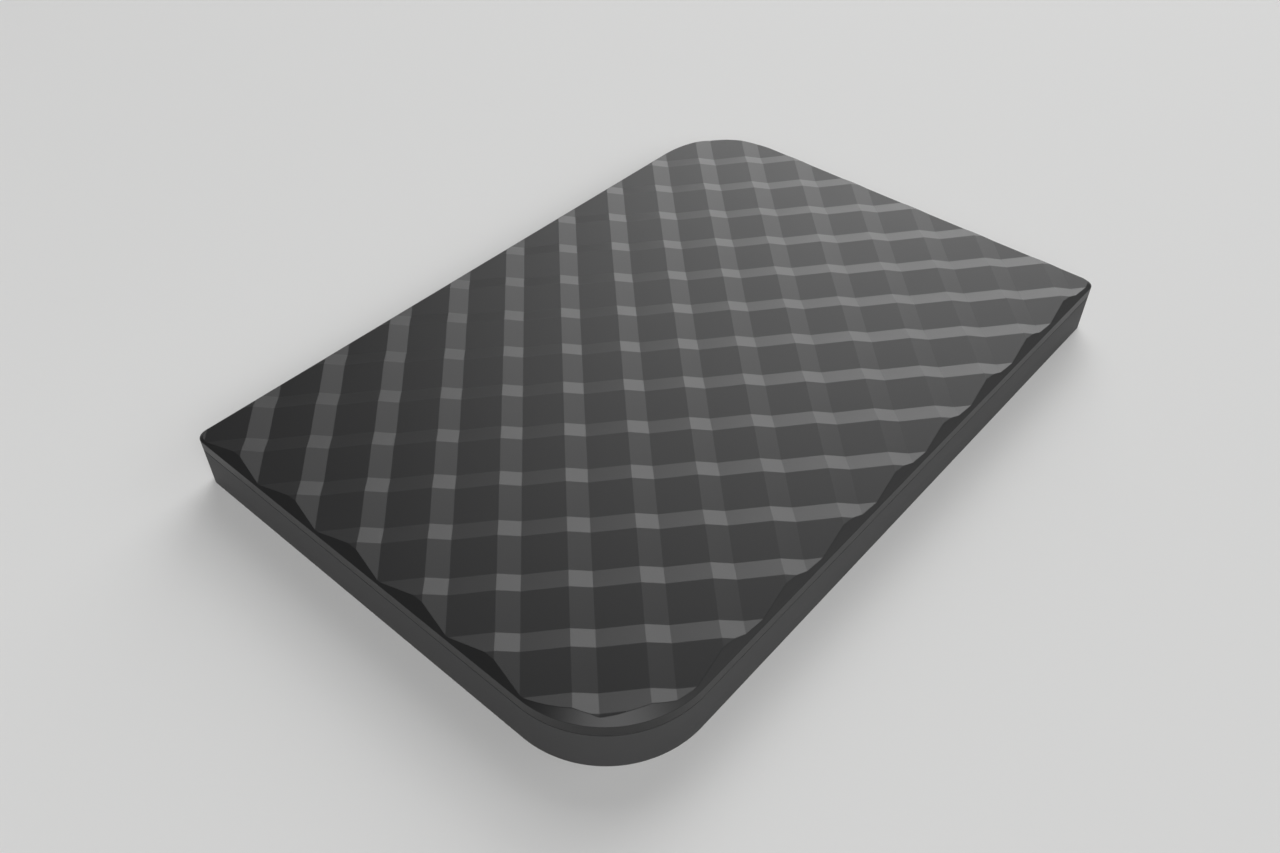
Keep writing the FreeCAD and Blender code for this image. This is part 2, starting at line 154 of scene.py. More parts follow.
def shade(piece, material, sharp_degrees=25):
    piece.data.materials.clear()
    piece.data.materials.append(material)
    for polygon in piece.data.polygons:
        polygon.use_smooth = True
        polygon.material_index = 0
    piece.data.set_sharp_from_angle(angle=math.radians(sharp_degrees))


def surface_grain():
    """Shader group: fine moulded grain for the bump and slow tone changes for colour and gloss."""
    tree = bpy.data.node_groups.new("surface grain", "ShaderNodeTree")
    for name in ("Grain per metre", "Tone per metre"):
        tree.interface.new_socket(name, in_out="INPUT", socket_type="NodeSocketFloat")
    for name in ("Grain", "Tone"):
        tree.interface.new_socket(name, in_out="OUTPUT", socket_type="NodeSocketFloat")
    take = tree.nodes.new("NodeGroupInput")
    give = tree.nodes.new("NodeGroupOutput")
    place = tree.nodes.new("ShaderNodeTexCoord")
    for name, source, detail in (("Grain", "Grain per metre", 2.0), ("Tone", "Tone per metre", 4.0)):
        noise = tree.nodes.new("ShaderNodeTexNoise")
        noise.inputs["Detail"].default_value = detail
        tree.links.new(place.outputs["Object"], noise.inputs["Vector"])
        tree.links.new(take.outputs[source], noise.inputs["Scale"])
        tree.links.new(noise.outputs["Fac"], give.inputs[name])
    return tree


grain_group = surface_grain()


def finish(name, dark, light, gloss, rough, grain, depth, tone=90.0, metallic=0.0, specular=0.5):
    """Material whose colour and gloss drift with the tone and whose bump follows the grain."""
    material = bpy.data.materials.new(name)
    material.use_nodes = True
    nodes = material.node_tree.nodes
    links = material.node_tree.links
    surface = nodes["Principled BSDF"]
    surface.inputs["Metallic"].default_value = metallic
    surface.inputs["Specular IOR Level"].default_value = specular
    group = nodes.new("ShaderNodeGroup")
    group.node_tree = grain_group
    group.inputs["Grain per metre"].default_value = grain
    group.inputs["Tone per metre"].default_value = tone
    colour = nodes.new("ShaderNodeMix")
    colour.data_type = "RGBA"
    colour.inputs["A"].default_value = (*dark, 1)
    colour.inputs["B"].default_value = (*light, 1)
    links.new(group.outputs["Tone"], colour.inputs["Factor"])
    links.new(colour.outputs["Result"], surface.inputs["Base Color"])
    sheen = nodes.new("ShaderNodeMapRange")
    sheen.inputs["To Min"].default_value = gloss
    sheen.inputs["To Max"].default_value = rough
    links.new(group.outputs["Tone"], sheen.inputs["Value"])
    links.new(sheen.outputs["Result"], surface.inputs["Roughness"])
    bump = nodes.new("ShaderNodeBump")
    bump.inputs["Distance"].default_value = depth
    links.new(group.outputs["Grain"], bump.inputs["Height"])
    links.new(bump.outputs["Normal"], surface.inputs["Normal"])
    return material


# The case's colour is painted lighter than the cover's, though both are one black plastic: painted light
# that makes the case walls render lighter than the cover's skirt.
case_plastic_painted_lighter = finish(
    "satin_case_plastic_painted_lighter", dark=(0.036, 0.036, 0.0367), light=(0.047, 0.047, 0.0478),
    gloss=0.58, rough=0.64, grain=9000.0, depth=0.000004)
foot_turns = [math.radians(90 * step / foot_steps) for step in range(foot_steps + 1)]
tray_rings = [case_ring(foot_radius * (1 - math.sin(turn)), foot_radius * (1 - math.cos(turn)))
              for turn in foot_turns]
groove_low = seam_height - groove_height
tray_rings += [
    case_ring(0, 2 * foot_radius),
    case_ring(0, groove_low - edge_radius),
    case_ring(edge_middle, groove_low - edge_middle),
    case_ring(edge_radius, groove_low),
    case_ring(groove_depth, groove_low),
    case_ring(groove_depth, seam_height),
    case_ring(wall, seam_height),
    case_ring(wall, floor_top),
]
tray = loft("case_tray", tray_rings)

post_radius = 0.00215
pilot_radius = 0.00085
pilot_floor = 0.0005
screw_head_radius = 0.00145
screw_x = screws_high.x - screw_head_radius
screw_y = screws_high.y - screw_head_radius
shelf_half_length = 0.0025
shelf_depth = 0.0021
carriers = bmesh.new()
pilots = bmesh.new()
for side_x in (-1, 1):
    for side_y in (-1, 1):
        place = (side_x * screw_x, side_y * screw_y, pilot_floor)
        add_rod(carriers, place, post_radius, board_low.z - pilot_floor)
        add_rod(pilots, place, pilot_radius, board_low.z)
    outer = side_x * (half_width - wall / 2)
    inner = side_x * (half_width - wall - shelf_depth)
    add_brick(carriers, (min(inner, outer), -shelf_half_length, floor_top / 2),
              (max(inner, outer), shelf_half_length, board_low.z))
work(tray, keep_piece("carriers", carriers), "UNION")

snap_length = 0.006
snap_play = 0.00015
snap_bottom = 0.00425
snap_height = 0.0006
snap_line = 0.00165
side_snap_spacing = 0.026
end_snap_spacing = 0.028
snap_x = half_width - snap_line
snap_y = half_length - snap_line
snap_places = [(Vector((side * snap_x, step * side_snap_spacing, 0)), Vector((side, 0, 0)))
               for step in (-1, 0, 1) for side in (-1, 1)]
snap_places += [(Vector((step * end_snap_spacing, side * snap_y, 0)), Vector((0, side, 0)))
                for step in (-0.5, 0.5) for side in (-1, 1)]
pocket_depth = 0.00055
for place, outward in snap_places:
    along = Vector((abs(outward.y), abs(outward.x), 0)) * (snap_length / 2 + snap_play)
    corners = [place - outward * 2 * snap_play - along, place + outward * pocket_depth + along]
    low = [min(a, b) for a, b in zip(*corners)]
    high = [max(a, b) for a, b in zip(*corners)]
    low[2] = snap_bottom - snap_play
    high[2] = snap_bottom + snap_height + snap_play
    add_brick(pilots, low, high)
work(tray, keep_piece("pilots", pilots), "DIFFERENCE")

socket_mid = (shell_low.z + shell_high.z) / 2
shell_half_height = (shell_high.z - shell_low.z) / 2
shell_half_width = 0.00447


def stadium_ring(grow, place_y):
    """Points round the socket's section, made larger by grow, at a place along the drive."""
    radius = shell_half_height + grow
    reach = shell_half_width - shell_half_height
    steps = 24
    points = []
    for side, start in ((1, -90), (-1, 90)):
        for step in range(steps + 1):
            angle = math.radians(start + 180 * step / steps)
            points.append(Vector((side * reach + radius * math.cos(angle), place_y,
                                  socket_mid + radius * math.sin(angle))))
    return points


window_gap = 0.0002
window_bevel = 0.00025
outside = half_length + edge_radius
work(tray, loft("window", [
    stadium_ring(window_gap, half_length - 2 * wall),
    stadium_ring(window_gap, half_length - window_bevel),
    stadium_ring(window_gap + window_bevel + edge_radius, outside),
]), "DIFFERENCE")

pipe_low, pipe_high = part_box("light_pipe")
pipe_x = (pipe_low.x + pipe_high.x) / 2
pipe_z = (pipe_low.z + pipe_high.z) / 2
pipe_radius = 0.00055
pipe_gap = 0.0001
hole = bmesh.new()
add_rod(hole, (pipe_x, half_length - 2 * wall, pipe_z), pipe_radius + pipe_gap, 3 * wall, Vector((0, 1, 0)))
work(tray, keep_piece("hole", hole), "DIFFERENCE")
shade(tray, case_plastic_painted_lighter)
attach(tray, "root")
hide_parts("bottom_case")

# Circuit board: glass laminate with green lacquer over the copper, cut to the inside of the case.
# It lies on the posts and shelves and is held by small zinc plated screws.
board_lacquer = finish(
    "green_board_lacquer", dark=(0.010, 0.070, 0.034), light=(0.018, 0.120, 0.060),
    gloss=0.28, rough=0.42, grain=2500.0, depth=0.000004, tone=700.0)
screw_steel = finish(
    "zinc_screw_steel", dark=(0.40, 0.40, 0.41), light=(0.52, 0.52, 0.53),
    gloss=0.30, rough=0.45, grain=12000.0, depth=0.000002, tone=600.0, metallic=1.0)


def dress(node, material):
    """Gives a frame node that stays as it is a material of its own."""
    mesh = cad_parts[node].data
    mesh.materials.clear()
    mesh.materials.append(material)


dress("main_board", board_lacquer)
dress("board_screws", screw_steel)

# Socket: a drawn and nickel plated shell round a moulded tongue, set into a notch of the board and
# soldered by four tabs. Its mouth lies just inside the window in the end wall.
socket_steel = finish(
    "nickel_socket_steel", dark=(0.52, 0.52, 0.53), light=(0.64, 0.64, 0.65),
    gloss=0.24, rough=0.36, grain=6000.0, depth=0.000002, tone=900.0, metallic=1.0)
socket_plastic = finish(
    "socket_insulator_plastic", dark=(0.012, 0.012, 0.0125), light=(0.020, 0.020, 0.021),
    gloss=0.45, rough=0.6, grain=12000.0, depth=0.000003, tone=400.0)
shell_wall = 0.0003
mouth_steps = 6
mouth_turns = [math.radians(180 * step / mouth_steps) for step in range(mouth_steps + 1)]
shell_rings = [stadium_ring(0, shell_low.y)]
shell_rings += [stadium_ring(-shell_wall / 2 * (1 - math.cos(turn)),
                             shell_high.y - shell_wall / 2 * (1 - math.sin(turn))) for turn in mouth_turns]
shell_rings += [stadium_ring(-shell_wall, shell_low.y)]
shell = loft("socket_tube", shell_rings, closed=True)
tab_width = 0.0012
tab_thickness = 0.0003
tab_margin = 0.0006
tab_root = shell_half_width - shell_wall
tabs = bmesh.new()
for side in (-1, 1):
    for middle in (shell_low.y + tab_margin + tab_width / 2, board_high.y - tab_margin - tab_width / 2):
        ends = sorted((side * (tab_root + shell_wall / 3), side * shell_high.x))
        add_brick(tabs, (ends[0], middle - tab_width / 2, board_high.z),
                  (ends[1], middle + tab_width / 2, board_high.z + tab_thickness))
work(shell, keep_piece("tabs", tabs), "UNION")
shade(shell, socket_steel)
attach(shell, "root")
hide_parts("socket_shell")
dress("socket_insulator", socket_plastic)

# Contacts: gold plated bronze strips, stamped and bent, in a row on each face of the tongue.
# Each runs from its foot on the board through the insulator to the tip of the tongue.
contact_gold = finish(
    "gold_contact_plating", dark=(0.78, 0.56, 0.22), light=(0.90, 0.68, 0.32),
    gloss=0.20, rough=0.34, grain=15000.0, depth=0.0000015, tone=900.0, metallic=1.0)
contacts_low, contacts_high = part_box("socket_contacts")
contact_width = 0.00028
contact_thickness = 0.00012
contact_heel = 0.000175
contact_edge = 0.00002
contact_rise = 0.00038
contact_top = socket_mid + contact_rise
contact_count = 12
contact_pitch = 0.0005
side_view = [
    (contacts_low.y, board_high.z),
    (shell_low.y - contact_heel, board_high.z),
    (shell_low.y - contact_heel, contact_top - contact_thickness),
    (contacts_high.y, contact_top - contact_thickness),
    (contacts_high.y, contact_top),
    (shell_low.y, contact_top),
    (shell_low.y, board_high.z + contact_thickness),
    (contacts_low.y, board_high.z + contact_thickness),
]
strip = bmesh.new()
near, far = [[strip.verts.new((x, y, z)) for y, z in side_view]
             for x in (-contact_width / 2, contact_width / 2)]
for index in range(len(side_view)):
    after = (index + 1) % len(side_view)
    strip.faces.new((near[index], near[after], far[after], far[index]))
strip.faces.new(near[::-1])
strip.faces.new(far)
bmesh.ops.bevel(strip, geom=strip.edges[:], offset=contact_edge, segments=1, affect="EDGES")
contacts = keep_piece("contact_rows", strip)


def node_tree(name, inputs):
    """Starts a geometry tree with named inputs for its sizes and one mesh in and out."""
    tree = bpy.data.node_groups.new(name, "GeometryNodeTree")
    tree.interface.new_socket("Mesh", in_out="INPUT", socket_type="NodeSocketGeometry")
    for label, kind in inputs:
        tree.interface.new_socket(label, in_out="INPUT", socket_type=kind)
    tree.interface.new_socket("Mesh", in_out="OUTPUT", socket_type="NodeSocketGeometry")
    return tree, tree.nodes.new("NodeGroupInput").outputs, tree.nodes.new("NodeGroupOutput").inputs


def add_node(tree, kind, feeds, **settings):
    """Adds a node, with each input fed by a socket or set to a value."""
    node = tree.nodes.new(kind)
    for key, value in settings.items():
        setattr(node, key, value)
    for key, value in feeds.items():
        sources = value if isinstance(value, list) else [value]
        for source in sources:
            if isinstance(source, bpy.types.NodeSocket):
                tree.links.new(source, node.inputs[key])
            else:
                node.inputs[key].default_value = source
    return node.outputs


def calc(tree, operation, *values):
    return add_node(tree, "ShaderNodeMath", dict(enumerate(values)), operation=operation)[0]


def make_real(tree, mesh, material):
    """Turns a tree's instances into real geometry in one material."""
    real = add_node(tree, "GeometryNodeRealizeInstances", {"Geometry": mesh})
    return add_node(tree, "GeometryNodeSetMaterial", {"Geometry": real[0], "Material": material})[0]


def grow(piece, tree, sizes):
    """Runs a geometry tree on a piece with its sizes set, and keeps the plain mesh."""
    modifier = piece.modifiers.new(tree.name, "NODES")
    modifier.node_group = tree
    for item in tree.interface.items_tree:
        if item.in_out == "INPUT" and item.name in sizes:
            modifier[item.identifier] = sizes[item.name]
    settle(piece)


def contact_rows_tree():
    """Repeats one contact along the row, and turns the row over for the tongue's other face."""
    tree, take, give = node_tree("contact rows", [
        ("Count", "NodeSocketInt"), ("Pitch", "NodeSocketFloat"), ("Middle height", "NodeSocketFloat")])
    gaps = calc(tree, "SUBTRACT", take["Count"], 1.0)
    start = calc(tree, "MULTIPLY", calc(tree, "MULTIPLY", gaps, take["Pitch"]), -0.5)
    first = add_node(tree, "ShaderNodeCombineXYZ", {"X": start})
    step = add_node(tree, "ShaderNodeCombineXYZ", {"X": take["Pitch"]})
    line = add_node(tree, "GeometryNodeMeshLine", {"Count": take["Count"], "Start Location": first[0],
                                                   "Offset": step[0]})
    row = add_node(tree, "GeometryNodeInstanceOnPoints", {"Points": line[0], "Instance": take["Mesh"]})
    lift = add_node(tree, "ShaderNodeCombineXYZ", {"Z": calc(tree, "MULTIPLY", take["Middle height"], 2.0)})
    under = add_node(tree, "GeometryNodeTransform", {"Geometry": row[0], "Translation": lift[0],
                                                     "Rotation": (0.0, math.pi, 0.0)})
    both = add_node(tree, "GeometryNodeJoinGeometry", {"Geometry": [row[0], under[0]]})
    tree.links.new(make_real(tree, both[0], contact_gold), give["Mesh"])
    return tree


grow(contacts, contact_rows_tree(), {"Count": contact_count, "Pitch": contact_pitch,
                                     "Middle height": socket_mid})
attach(contacts, "root")
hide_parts("socket_contacts")

# Memory and control chips: moulded black epoxy packages soldered flat on the board, the small
# ones with tinned leads bent down at their sides. A dimple marks each package's first contact.
chip_epoxy = finish(
    "moulded_chip_epoxy", dark=(0.020, 0.020, 0.021), light=(0.034, 0.034, 0.036),
    gloss=0.50, rough=0.66, grain=9000.0, depth=0.000005, tone=500.0)
tinned = finish(
    "tinned_leads", dark=(0.55, 0.55, 0.56), light=(0.68, 0.68, 0.69),
    gloss=0.28, rough=0.45, grain=15000.0, depth=0.000002, tone=900.0, metallic=1.0)
package_edge = 0.00006
package_sharp_degrees = 10
weld_distance = 0.000003
flat_turn = math.radians(1)
corner_turn = math.radians(30)
dimple_depth = 0.00006
dimple_radii_from_side = 2.5
flash_dimple = 0.0005
controller_dimple = 0.0004
firmware_dimple = 0.00025
regulator_dimple = 0.00015


def package(node, dimple):
    """Copies a chip with its edges eased, and presses a round dimple of a given radius into a corner."""
    shape = bmesh.new()
    shape.from_mesh(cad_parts[node].data)
    bmesh.ops.remove_doubles(shape, verts=shape.verts, dist=weld_distance)
    bmesh.ops.dissolve_limit(shape, angle_limit=flat_turn, verts=shape.verts, edges=shape.edges)
    sharp = [edge for edge in shape.edges if edge.calc_face_angle(0) > corner_turn]
    bmesh.ops.bevel(shape, geom=sharp, offset=package_edge, segments=2, profile=0.5, affect="EDGES")
    piece = keep_piece(node + "_package", shape)
    low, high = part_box(node)
    inset = dimple_radii_from_side * dimple
    mark = bmesh.new()
    add_rod(mark, (low.x + inset, low.y + inset, high.z - dimple_depth), dimple, 2 * dimple_depth)
    work(piece, keep_piece("mark", mark), "DIFFERENCE")
    shade(piece, chip_epoxy, package_sharp_degrees)
    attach(piece, "root")
    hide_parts(node)


for number in (1, 2, 3, 4):
    package(f"flash_memory_{number}", flash_dimple)
for node in ("flash_controller", "buffer_memory", "bridge_controller"):
    package(node, controller_dimple)
package("firmware_memory", firmware_dimple)
package("voltage_regulator", regulator_dimple)
dress("surge_arrays", chip_epoxy)
for node in ("firmware_memory_leads", "voltage_regulator_leads"):
    dress(node, tinned)

# Power and passive parts: pressed powder coils, fired ceramic capacitors and resistors with tinned
# caps over both ends, and a crystal in a drawn metal can, all soldered to the board.
coil_powder = finish(
    "pressed_coil_powder", dark=(0.06, 0.06, 0.064), light=(0.11, 0.11, 0.115),
    gloss=0.55, rough=0.75, grain=9000.0, depth=0.00001, tone=1500.0)
capacitor_ceramic = finish(
    "fired_capacitor_ceramic", dark=(0.34, 0.24, 0.15), light=(0.46, 0.34, 0.22),
    gloss=0.45, rough=0.6, grain=15000.0, depth=0.000003, tone=1500.0)
resistor_glaze = finish(
    "glazed_resistor_ceramic", dark=(0.035, 0.035, 0.04), light=(0.07, 0.07, 0.075),
    gloss=0.2, rough=0.35, grain=15000.0, depth=0.000002, tone=1500.0)
crystal_can = finish(
    "drawn_crystal_can", dark=(0.58, 0.57, 0.54), light=(0.70, 0.69, 0.66),
    gloss=0.25, rough=0.4, grain=12000.0, depth=0.000002, tone=900.0, metallic=1.0)
dress("power_inductor_1", coil_powder)
dress("power_inductor_2", coil_powder)
dress("clock_crystal", crystal_can)
cap_share = 0.22
cap_step = 0.00002


def block_places(node):
    """Middle of each of a node's small blocks, its turn about the vertical and the blocks' size."""
    cad = bmesh.new()
    cad.from_mesh(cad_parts[node].data)
    bmesh.ops.remove_doubles(cad, verts=cad.verts, dist=weld_distance)
    done = set()
    places = []
    for start in cad.verts:
        if start in done:
            continue
        block = {start}
        fresh = {start}
        while fresh:
            fresh = {edge.other_vert(vertex) for vertex in fresh for edge in vertex.link_edges} - block
            block |= fresh
        done |= block
        low = Vector([min(vertex.co[axis] for vertex in block) for axis in range(3)])
        high = Vector([max(vertex.co[axis] for vertex in block) for axis in range(3)])
        size = high - low
        places.append(((low + high) / 2, 0.0 if size.x > size.y else math.pi / 2))
    cad.free()
    return places, (max(size.x, size.y), min(size.x, size.y), size.z)


def capped_blocks_tree(name, body):
    """Sets a ceramic body and a cap over each of its ends on every point of a mesh."""
    sizes = ["Length", "Width", "Height", "Cap", "Step"]
    tree, take, give = node_tree(name, [(label, "NodeSocketFloat") for label in sizes])
    turn = add_node(tree, "GeometryNodeInputNamedAttribute", {"Name": "turn"}, data_type="FLOAT")
    about = add_node(tree, "ShaderNodeCombineXYZ", {"Z": turn[0]})
    inset = calc(tree, "MULTIPLY", take["Step"], 2.0)
    core_size = add_node(tree, "ShaderNodeCombineXYZ", {
        "X": calc(tree, "SUBTRACT", take["Length"], calc(tree, "MULTIPLY", take["Cap"], 2.0)),
        "Y": calc(tree, "SUBTRACT", take["Width"], inset),
        "Z": calc(tree, "SUBTRACT", take["Height"], inset)})
    core = add_node(tree, "GeometryNodeMeshCube", {"Size": core_size[0]})
    cap_size = add_node(tree, "ShaderNodeCombineXYZ", {
        "X": take["Cap"], "Y": take["Width"], "Z": take["Height"]})
    cap = add_node(tree, "GeometryNodeMeshCube", {"Size": cap_size[0]})
    reach = calc(tree, "MULTIPLY", calc(tree, "SUBTRACT", take["Length"], take["Cap"]), 0.5)
    ends = []
    for side in (-1.0, 1.0):
        shift = add_node(tree, "ShaderNodeCombineXYZ", {"X": calc(tree, "MULTIPLY", reach, side)})
        end = add_node(tree, "GeometryNodeTransform", {"Geometry": cap[0], "Translation": shift[0]})
        ends.append(end[0])
    caps = add_node(tree, "GeometryNodeJoinGeometry", {"Geometry": ends})
    finished = []
    for shape, material in ((core[0], body), (caps[0], tinned)):
        placed = add_node(tree, "GeometryNodeInstanceOnPoints", {
            "Points": take["Mesh"], "Instance": shape, "Rotation": about[0]})
        finished.append(make_real(tree, placed[0], material))
    every = add_node(tree, "GeometryNodeJoinGeometry", {"Geometry": finished})
    tree.links.new(every[0], give["Mesh"])
    return tree


def capped_blocks(node, name, body):
    """Rebuilds a node's small blocks as ceramic bodies with tinned ends."""
    places, (length, width, height) = block_places(node)
    points = bmesh.new()
    turns = points.verts.layers.float.new("turn")
    for middle, turn in places:
        points.verts.new(middle)[turns] = turn
    piece = keep_piece(name, points)
    grow(piece, capped_blocks_tree(name, body), {"Length": length, "Width": width, "Height": height,
                                                 "Cap": cap_share * length, "Step": cap_step})
    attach(piece, "root")
    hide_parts(node)


capped_blocks("ceramic_capacitors", "capped_capacitors", capacitor_ceramic)
capped_blocks("chip_resistors", "capped_resistors", resistor_glaze)

# Activity light: a small cast diode on the board, with a clear moulded pipe that stands before it
# and carries its light through a hole in the end wall.
led_resin = finish(
    "cast_led_resin", dark=(0.72, 0.72, 0.60), light=(0.86, 0.86, 0.78),
    gloss=0.12, rough=0.25, grain=9000.0, depth=0.000002, tone=900.0)
pipe_clear = finish(
    "clear_pipe_plastic", dark=(0.62, 0.65, 0.68), light=(0.80, 0.82, 0.84),
    gloss=0.08, rough=0.18, grain=9000.0, depth=0.000001, tone=600.0)
dress("activity_led", led_resin)
foot_front = half_length - wall
foot_edge = 0.00012
pipe_shape = bmesh.new()
add_brick(pipe_shape, pipe_low, (pipe_high.x, foot_front, pipe_high.z))
foot_edges = [edge for edge in pipe_shape.edges
              if max(vertex.co.y for vertex in edge.verts) < foot_front - foot_edge]
bmesh.ops.bevel(pipe_shape, geom=foot_edges, offset=foot_edge, segments=3, affect="EDGES")
pipe = keep_piece("clear_light_pipe", pipe_shape)
dome_height = 0.0002
dome_length = 1.5 * dome_height
dome_root_radius = 0.9 * pipe_radius
dome_tip_radius = 0.6 * pipe_radius
rod = bmesh.new()
rod_back = foot_front - foot_edge
rod_length = pipe_high.y - dome_height - rod_back
add_rod(rod, (pipe_x, rod_back, pipe_z), pipe_radius, rod_length, Vector((0, 1, 0)))
add_rod(rod, (pipe_x, pipe_high.y - dome_length, pipe_z), dome_root_radius, dome_length,
        Vector((0, 1, 0)), dome_tip_radius)
work(pipe, keep_piece("rod", rod), "UNION")
shade(pipe, pipe_clear)
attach(pipe, "root")
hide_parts("light_pipe")

# Thermal pad: soft grey silicone filled with ceramic powder, cut square from a sheet.
# It is squeezed between the controller and the cover, and takes the heat out.
pad_silicone = finish(
    "thermal_pad_silicone", dark=(0.38, 0.40, 0.45), light=(0.48, 0.50, 0.55),
    gloss=0.6, rough=0.8, grain=5000.0, depth=0.00001, tone=700.0)
dress("thermal_pad", pad_silicone)

# Top cover: moulded in the same black plastic. Its top is a field of flat facets, where two families
# of saw shaped ridges cross at 45 degrees to the sides; its edge leans in above a short skirt, and a
# lip with snaps goes down inside the case.
cover_low, cover_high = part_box("top_cover")
skirt_height = 0.00138
edge_lean = math.radians(50)
rim_radius = 0.00012
rim_steps = 24
cover_thickness = 0.0012
lip_inset = 0.00165
lip_thickness = 0.001
lip_gap_beside_pipe = 0.0005
ridge_count = 19.0
ridge_repeat = 0.010
ridge_pitch = ridge_repeat / math.sqrt(2)
ridge_strip = 0.00235
ridge_height = 0.0004
polish_radius = 0.00004
polish_turn = math.radians(2)
facet_upright = 0.97
facet_sharp_degrees = 2.5
ridge_mean = cover_high.z - ridge_height
lip_bottom = cover_low.z
cover_underside = ridge_mean - ridge_height - cover_thickness
rim_height = seam_height + skirt_height
blank_top = cover_high.z + rim_radius
blank_rings = [case_ring((blank_top - rim_height) * math.tan(edge_lean), blank_top)]
for step in reversed(range(rim_steps + 1)):
    turn = edge_lean * step / rim_steps
    blank_rings.append(case_ring(rim_radius * (1 - math.cos(turn)),
                                 rim_height + rim_radius * (math.sin(turn) - math.tan(edge_lean / 2))))
blank_rings += [
    case_ring(0, seam_height + edge_radius),
    case_ring(edge_middle, seam_height + edge_middle),
    case_ring(edge_radius, seam_height),
    case_ring(lip_inset, seam_height),
    case_ring(lip_inset, lip_bottom + edge_radius),
    case_ring(lip_inset + edge_radius, lip_bottom),
    case_ring(lip_inset + lip_thickness, lip_bottom),
    case_ring(lip_inset + lip_thickness, cover_underside),
]
cover = loft("faceted_cover", blank_rings)

socket_room = pipe_high.x + lip_gap_beside_pipe
gap = bmesh.new()
add_brick(gap, (-socket_room, half_length - lip_inset - lip_thickness - wall, lip_bottom - wall),
          (socket_room, half_length + wall, seam_height))
work(cover, keep_piece("gap", gap), "DIFFERENCE")

snap_reach = 0.0004
snap_root = 0.0001
snaps = bmesh.new()
for place, outward in snap_places:
    along = Vector((0, 0, 1)).cross(outward) * snap_length
    section = [(-snap_root, snap_bottom), (snap_reach, snap_bottom + snap_height / 2),
               (-snap_root, snap_bottom + snap_height)]
    ends = [[snaps.verts.new(place + outward * reach + Vector((0, 0, height)) + along * shift)
             for reach, height in section] for shift in (-0.5, 0.5)]
    for index in range(3):
        after = (index + 1) % 3
        snaps.faces.new((ends[0][index], ends[0][after], ends[1][after], ends[1][index]))
    snaps.faces.new(ends[0])
    snaps.faces.new(ends[1])
work(cover, keep_piece("snaps", snaps), "UNION")

pad_low, pad_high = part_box("thermal_pad")
rib_half_width = 0.00045
rib_depth = 0.00045
rib_side_margin = 0.006
rib_x = half_width - lip_inset - lip_thickness - rib_side_margin
rib_y = half_length - lip_inset - lip_thickness - round_corner
rib_low = cover_underside - rib_depth
rib_high = cover_underside + rib_depth
cross_ribs = 4
long_ribs = bmesh.new()
short_ribs = bmesh.new()
for x in (-rib_x, rib_x):
    add_brick(long_ribs, (x - rib_half_width, -rib_y, rib_low), (x + rib_half_width, rib_y, rib_high))
for index in range(cross_ribs):
    y = rib_y * (2 * index / (cross_ribs - 1) - 1)
    add_brick(short_ribs, (-rib_x, y - rib_half_width, rib_low), (rib_x, y + rib_half_width, rib_high))
pad_room = bmesh.new()
around = Vector((2 * rib_half_width, 2 * rib_half_width, 0))
add_brick(pad_room, Vector((pad_low.x, pad_low.y, rib_low - rib_depth)) - around, pad_high + around)
work(cover, keep_piece("long_ribs", long_ribs), "UNION")
work(cover, keep_piece("short_ribs", short_ribs), "UNION")
work(cover, keep_piece("pad_room", pad_room), "DIFFERENCE")


def ridge_rule():
    """Geometry group: place and height of one line of the facet grid, from its number."""
    tree = bpy.data.node_groups.new("ridge rule", "GeometryNodeTree")
    for name in ("Line", "Ridges", "Pitch", "Strip", "Height"):
        tree.interface.new_socket(name, in_out="INPUT", socket_type="NodeSocketFloat")
    for name in ("Place", "Rise"):
        tree.interface.new_socket(name, in_out="OUTPUT", socket_type="NodeSocketFloat")
    take = tree.nodes.new("NodeGroupInput").outputs
    give = tree.nodes.new("NodeGroupOutput").inputs
    number = calc(tree, "ROUND", take["Line"])
    ridge = calc(tree, "FLOOR", calc(tree, "MULTIPLY", number, 0.5))
    valley = calc(tree, "SUBTRACT", number, calc(tree, "MULTIPLY", ridge, 2.0))
    middle = calc(tree, "FLOOR", calc(tree, "MULTIPLY", take["Ridges"], 0.5))
    crest = calc(tree, "MULTIPLY", calc(tree, "SUBTRACT", ridge, middle), take["Pitch"])
    place = calc(tree, "ADD", crest, calc(tree, "MULTIPLY", valley, take["Strip"]))
    rise = calc(tree, "MULTIPLY", take["Height"], calc(tree, "SUBTRACT", 0.5, valley))
    tree.links.new(place, give["Place"])
    tree.links.new(rise, give["Rise"])
    return tree


